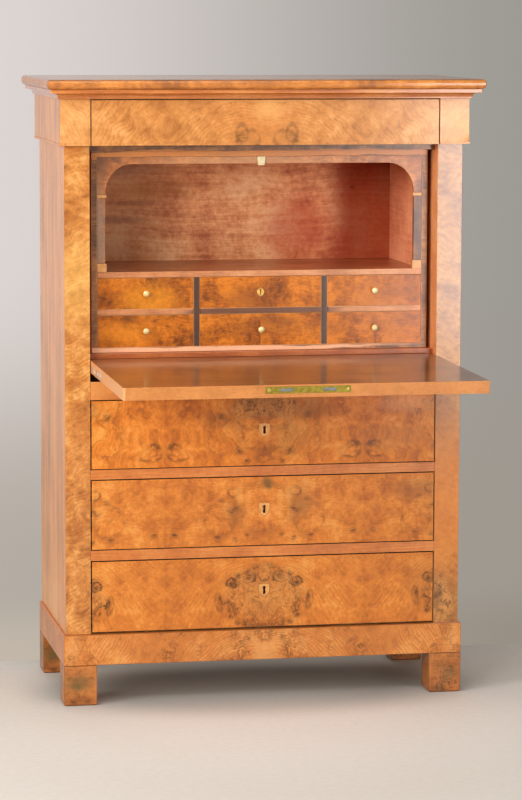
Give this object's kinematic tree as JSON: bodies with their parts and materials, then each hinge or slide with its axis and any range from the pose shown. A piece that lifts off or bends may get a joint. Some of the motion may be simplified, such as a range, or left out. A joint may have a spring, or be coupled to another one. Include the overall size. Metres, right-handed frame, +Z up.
{
  "type": "fall-front secretary",
  "caption": "Tall chest with a frieze drawer, a hinged writing flap over small drawers and an arched chamber, and long drawers below on block feet.",
  "frame": {"origin": "on the floor, in the middle of the outline as stored with the writing flap open", "axes": "+Z up; the front faces -Y and the writing flap opens towards -Y; +X is to the right of someone who faces the front"},
  "size_m": [1.059, 0.9696, 1.502],
  "materials": {
    "walnut_veneer": "book-matched walnut veneer under a high gloss polish",
    "side_walnut": "straight-grained walnut, polished",
    "interior_walnut": "dark walnut veneer, polished",
    "stained_lining": "red-brown stained board, satin",
    "softwood": "planed spruce or pine, unpolished",
    "maple": "pale maple, polished",
    "bone": "turned and polished bone",
    "brass": "aged brass",
    "steel": "filed steel"
  },
  "bodies": {
    "carcass": {"side_panel_left": "side_walnut", "side_panel_right": "side_walnut", "pilaster_left": "walnut_veneer", "pilaster_right": "walnut_veneer", "back_panel": "softwood", "top_board": "walnut_veneer", "cornice": "walnut_veneer", "frieze_left": "walnut_veneer", "frieze_right": "walnut_veneer", "frieze_shelf": "interior_walnut", "writing_shelf": "walnut_veneer", "flap_rail": "walnut_veneer", "middle_board": "walnut_veneer", "lower_board": "walnut_veneer", "bottom_board": "softwood", "plinth": "walnut_veneer", "foot_front_left": "walnut_veneer", "foot_front_right": "walnut_veneer", "foot_back_left": "walnut_veneer", "foot_back_right": "walnut_veneer", "interior_case": "interior_walnut", "drawer_partition": "interior_walnut", "chamber_floor": "stained_lining", "arch_panel": "interior_walnut", "keystone": "bone", "capital_left": "maple", "capital_right": "maple", "base_left": "maple", "base_right": "maple"},
    "flap": {"flap_panel": "walnut_veneer", "flap_lock": "brass", "flap_hinge_left": "steel", "flap_hinge_right": "steel", "flap_escutcheon": "maple"},
    "flap_bolts": {"flap_lock_bolts": "steel"},
    "frieze_drawer": {"frieze_drawer": "walnut_veneer"},
    "upper_drawer": {"upper_drawer_front": "walnut_veneer", "upper_drawer_box": "softwood", "upper_escutcheon": "maple"},
    "upper_drawer_bolt": {"upper_drawer_bolt": "steel"},
    "middle_drawer": {"middle_drawer_front": "walnut_veneer", "middle_drawer_box": "softwood", "middle_escutcheon": "maple"},
    "middle_drawer_bolt": {"middle_drawer_bolt": "steel"},
    "lower_drawer": {"lower_drawer_front": "walnut_veneer", "lower_drawer_box": "softwood", "lower_escutcheon": "maple"},
    "lower_drawer_bolt": {"lower_drawer_bolt": "steel"},
    "small_drawer_upper_left": {"small_drawer_upper_left": "interior_walnut", "small_drawer_upper_left_knob": "bone"},
    "small_drawer_upper_middle": {"small_drawer_upper_middle": "interior_walnut", "small_drawer_upper_middle_escutcheon": "brass"},
    "small_drawer_upper_right": {"small_drawer_upper_right": "interior_walnut", "small_drawer_upper_right_knob": "bone"},
    "small_drawer_lower_left": {"small_drawer_lower_left": "interior_walnut", "small_drawer_lower_left_knob": "bone"},
    "small_drawer_lower_middle": {"small_drawer_lower_middle": "interior_walnut", "small_drawer_lower_middle_knob": "bone"},
    "small_drawer_lower_right": {"small_drawer_lower_right": "interior_walnut", "small_drawer_lower_right_knob": "bone"}
  },
  "joints": [
    {"name": "flap_hinge", "type": "hinge", "parent": "carcass", "child": "flap", "pos_m": [0, 0.03931, 0.82], "axis": [1, 0, 0], "range_deg": [-90.6, 0]},
    {"name": "flap_bolts_slide", "type": "slide", "parent": "flap", "child": "flap_bolts", "axis": [0, -0.9999, -0.0105], "range_m": [0, 0.008]},
    {"name": "frieze_drawer_slide", "type": "slide", "parent": "carcass", "child": "frieze_drawer", "axis": [0, -1, 0], "range_m": [0, 0.3]},
    {"name": "upper_drawer_slide", "type": "slide", "parent": "carcass", "child": "upper_drawer", "axis": [0, -1, 0], "range_m": [0, 0.33]},
    {"name": "upper_drawer_bolt_slide", "type": "slide", "parent": "upper_drawer", "child": "upper_drawer_bolt", "axis": [0, 0, 1], "range_m": [0, 0.008]},
    {"name": "middle_drawer_slide", "type": "slide", "parent": "carcass", "child": "middle_drawer", "axis": [0, -1, 0], "range_m": [0, 0.33]},
    {"name": "middle_drawer_bolt_slide", "type": "slide", "parent": "middle_drawer", "child": "middle_drawer_bolt", "axis": [0, 0, 1], "range_m": [0, 0.008]},
    {"name": "lower_drawer_slide", "type": "slide", "parent": "carcass", "child": "lower_drawer", "axis": [0, -1, 0], "range_m": [0, 0.33]},
    {"name": "lower_drawer_bolt_slide", "type": "slide", "parent": "lower_drawer", "child": "lower_drawer_bolt", "axis": [0, 0, 1], "range_m": [0, 0.008]},
    {"name": "small_drawer_upper_left_slide", "type": "slide", "parent": "carcass", "child": "small_drawer_upper_left", "axis": [0, -1, 0], "range_m": [0, 0.21]},
    {"name": "small_drawer_upper_middle_slide", "type": "slide", "parent": "carcass", "child": "small_drawer_upper_middle", "axis": [0, -1, 0], "range_m": [0, 0.21]},
    {"name": "small_drawer_upper_right_slide", "type": "slide", "parent": "carcass", "child": "small_drawer_upper_right", "axis": [0, -1, 0], "range_m": [0, 0.21]},
    {"name": "small_drawer_lower_left_slide", "type": "slide", "parent": "carcass", "child": "small_drawer_lower_left", "axis": [0, -1, 0], "range_m": [0, 0.21]},
    {"name": "small_drawer_lower_middle_slide", "type": "slide", "parent": "carcass", "child": "small_drawer_lower_middle", "axis": [0, -1, 0], "range_m": [0, 0.21]},
    {"name": "small_drawer_lower_right_slide", "type": "slide", "parent": "carcass", "child": "small_drawer_lower_right", "axis": [0, -1, 0], "range_m": [0, 0.21]}
  ]
}
